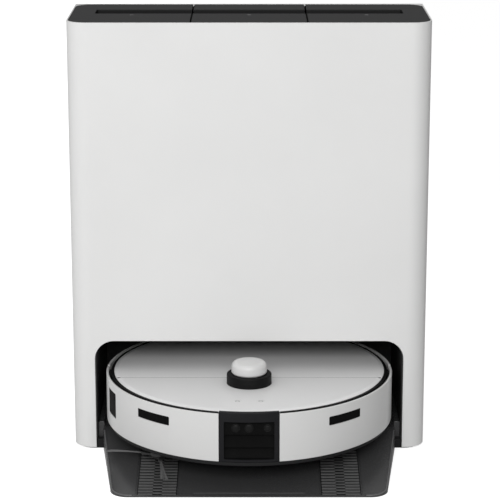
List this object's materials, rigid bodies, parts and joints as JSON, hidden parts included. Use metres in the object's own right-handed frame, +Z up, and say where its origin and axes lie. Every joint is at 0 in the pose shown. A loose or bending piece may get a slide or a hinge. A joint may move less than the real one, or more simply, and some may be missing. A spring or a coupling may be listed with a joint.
{
  "type": "robot vacuum with docking station",
  "caption": "Round robot vacuum parked in the bay of a tall white wash-and-empty station, over a dark entry ramp, with lift-out tanks under dark top lids.",
  "frame": {"origin": "on the floor under the centre of the bounding box of the docked assembly", "axes": "+Z up, +Y towards the station's rear face, -Y the side the robot drives out of, +X the right side seen from the front"},
  "size_m": [0.445, 0.381, 0.544],
  "materials": {
    "white_plastic": "satin moulded",
    "black_plastic": "fine matte texture",
    "gloss_black": "polished infrared window",
    "graphite_plastic": "fine matte texture",
    "rubber": "moulded rubber",
    "clear_plastic": "smoked clear moulding",
    "contact_metal": "plated spring contact",
    "cloth": "microfibre and filter cloth",
    "circuit_board": "soldered board"
  },
  "bodies": {
    "station": {"outer_shell": "white_plastic", "rear_panel": "graphite_plastic", "power_inlet": "black_plastic", "bay_liner": "black_plastic", "base_tray": "black_plastic", "wash_tray": "graphite_plastic", "anti_slip_strip": "rubber", "dust_port_seal": "rubber", "inner_frame": "graphite_plastic", "dust_duct": "graphite_plastic", "dust_bag": "cloth", "station_fan_housing": "black_plastic", "control_board": "circuit_board", "water_pump": "black_plastic", "traction_pad_left": "rubber", "traction_pad_right": "rubber"},
    "clean_tank": {"clean_tank": "clear_plastic", "clean_tank_lid": "graphite_plastic"},
    "dirty_tank": {"dirty_tank": "clear_plastic", "dirty_tank_lid": "graphite_plastic"},
    "dust_lid": {"dust_lid": "graphite_plastic"},
    "station_impeller": {"station_impeller": "black_plastic"},
    "charge_contact_left": {"charge_contact_left": "contact_metal"},
    "charge_contact_right": {"charge_contact_right": "contact_metal"},
    "robot": {"robot_chassis": "black_plastic", "rear_shell": "white_plastic", "front_cover": "white_plastic", "rear_lid": "white_plastic", "lidar_collar": "black_plastic", "lidar_cap": "white_plastic", "dust_bin": "clear_plastic", "bin_filter": "cloth", "fan_housing": "black_plastic", "battery_pack": "graphite_plastic", "main_board": "circuit_board", "brush_housing": "graphite_plastic", "robot_contact_left": "contact_metal", "robot_contact_right": "contact_metal"},
    "bumper": {"bumper_carrier": "black_plastic", "bumper_skin_left": "white_plastic", "bumper_skin_right": "white_plastic", "sensor_bezel": "gloss_black", "lens_panel": "gloss_black", "side_window_left": "gloss_black", "side_window_right": "gloss_black", "wall_sensor_window": "gloss_black"},
    "power_button": {"power_button": "white_plastic"},
    "home_button": {"home_button": "white_plastic"},
    "lidar_rotor": {"lidar_rotor": "graphite_plastic"},
    "fan_impeller": {"fan_impeller": "graphite_plastic"},
    "main_brush": {"main_brush": "rubber"},
    "side_brush": {"side_brush": "graphite_plastic"},
    "caster_fork": {"caster_fork": "black_plastic"},
    "caster_wheel": {"caster_wheel": "rubber"},
    "wheel_arm_left": {"wheel_arm_left": "graphite_plastic"},
    "wheel_arm_right": {"wheel_arm_right": "graphite_plastic"},
    "drive_wheel_left": {"drive_wheel_left": "rubber"},
    "drive_wheel_right": {"drive_wheel_right": "rubber"},
    "mop_left": {"mop_pad_left": "cloth"},
    "mop_right": {"mop_pad_right": "cloth"}
  },
  "joints": [
    {"name": "robot_drives_out", "type": "slide", "parent": "station", "child": "robot", "axis": [0, -1, 0], "range_m": [0, 0.36]},
    {"name": "clean_tank_lifts", "type": "slide", "parent": "station", "child": "clean_tank", "axis": [0, 0, 1], "range_m": [0, 0.35]},
    {"name": "dirty_tank_lifts", "type": "slide", "parent": "station", "child": "dirty_tank", "axis": [0, 0, 1], "range_m": [0, 0.35]},
    {"name": "dust_lid_opens", "type": "hinge", "parent": "station", "child": "dust_lid", "pos_m": [0, 0.1432, 0.542], "axis": [-1, 0, 0], "range_deg": [0, 85]},
    {"name": "station_fan_spins", "type": "hinge", "parent": "station", "child": "station_impeller", "pos_m": [0, 0.062, 0.22], "axis": [0, 0, 1], "continuous": true},
    {"name": "charge_contact_left_presses", "type": "slide", "parent": "station", "child": "charge_contact_left", "axis": [0, 1, 0], "range_m": [0, 0.003], "stiffness_N_per_m": 300},
    {"name": "charge_contact_right_presses", "type": "slide", "parent": "station", "child": "charge_contact_right", "axis": [0, 1, 0], "range_m": [0, 0.003], "stiffness_N_per_m": 300},
    {"name": "bumper_presses", "type": "slide", "parent": "robot", "child": "bumper", "axis": [0, 1, 0], "range_m": [0, 0.003], "stiffness_N_per_m": 600},
    {"name": "power_button_presses", "type": "slide", "parent": "robot", "child": "power_button", "axis": [0, 0, -1], "range_m": [0, 0.0008], "stiffness_N_per_m": 400},
    {"name": "home_button_presses", "type": "slide", "parent": "robot", "child": "home_button", "axis": [0, 0, -1], "range_m": [0, 0.0008], "stiffness_N_per_m": 400},
    {"name": "lidar_spins", "type": "hinge", "parent": "robot", "child": "lidar_rotor", "pos_m": [0, -0.0735, 0.1], "axis": [0, 0, 1], "continuous": true},
    {"name": "fan_spins", "type": "hinge", "parent": "robot", "child": "fan_impeller", "pos_m": [0, 0.0755, 0.06], "axis": [0, 0, 1], "continuous": true},
    {"name": "main_brush_turns", "type": "hinge", "parent": "robot", "child": "main_brush", "pos_m": [0, -0.0555, 0.046], "axis": [1, 0, 0], "continuous": true},
    {"name": "side_brush_turns", "type": "hinge", "parent": "robot", "child": "side_brush", "pos_m": [-0.11, -0.1175, 0.031], "axis": [0, 0, 1], "continuous": true},
    {"name": "caster_swivels", "type": "hinge", "parent": "robot", "child": "caster_fork", "pos_m": [0, -0.1365, 0.058], "axis": [0, 0, 1], "continuous": true},
    {"name": "caster_rolls", "type": "hinge", "parent": "caster_fork", "child": "caster_wheel", "pos_m": [0, -0.1315, 0.041], "axis": [1, 0, 0], "continuous": true},
    {"name": "wheel_arm_left_rises", "type": "hinge", "parent": "robot", "child": "wheel_arm_left", "pos_m": [-0.1, -0.0405, 0.063], "axis": [1, 0, 0], "range_deg": [0, 8]},
    {"name": "drive_wheel_left_rolls", "type": "hinge", "parent": "wheel_arm_left", "child": "drive_wheel_left", "pos_m": [-0.124, -0.0105, 0.0613], "axis": [1, 0, 0], "continuous": true},
    {"name": "mop_left_spins", "type": "hinge", "parent": "robot", "child": "mop_left", "pos_m": [-0.066, 0.0835, 0.03], "axis": [0, 0, 1], "continuous": true},
    {"name": "wheel_arm_right_rises", "type": "hinge", "parent": "robot", "child": "wheel_arm_right", "pos_m": [0.1, -0.0405, 0.063], "axis": [1, 0, 0], "range_deg": [0, 8]},
    {"name": "drive_wheel_right_rolls", "type": "hinge", "parent": "wheel_arm_right", "child": "drive_wheel_right", "pos_m": [0.124, -0.0105, 0.0613], "axis": [1, 0, 0], "continuous": true},
    {"name": "mop_right_spins", "type": "hinge", "parent": "robot", "child": "mop_right", "pos_m": [0.066, 0.0835, 0.03], "axis": [0, 0, 1], "continuous": true}
  ],
  "couplings": [
    {"joint": "mop_right_spins", "follows": "mop_left_spins", "ratio": -1}
  ]
}
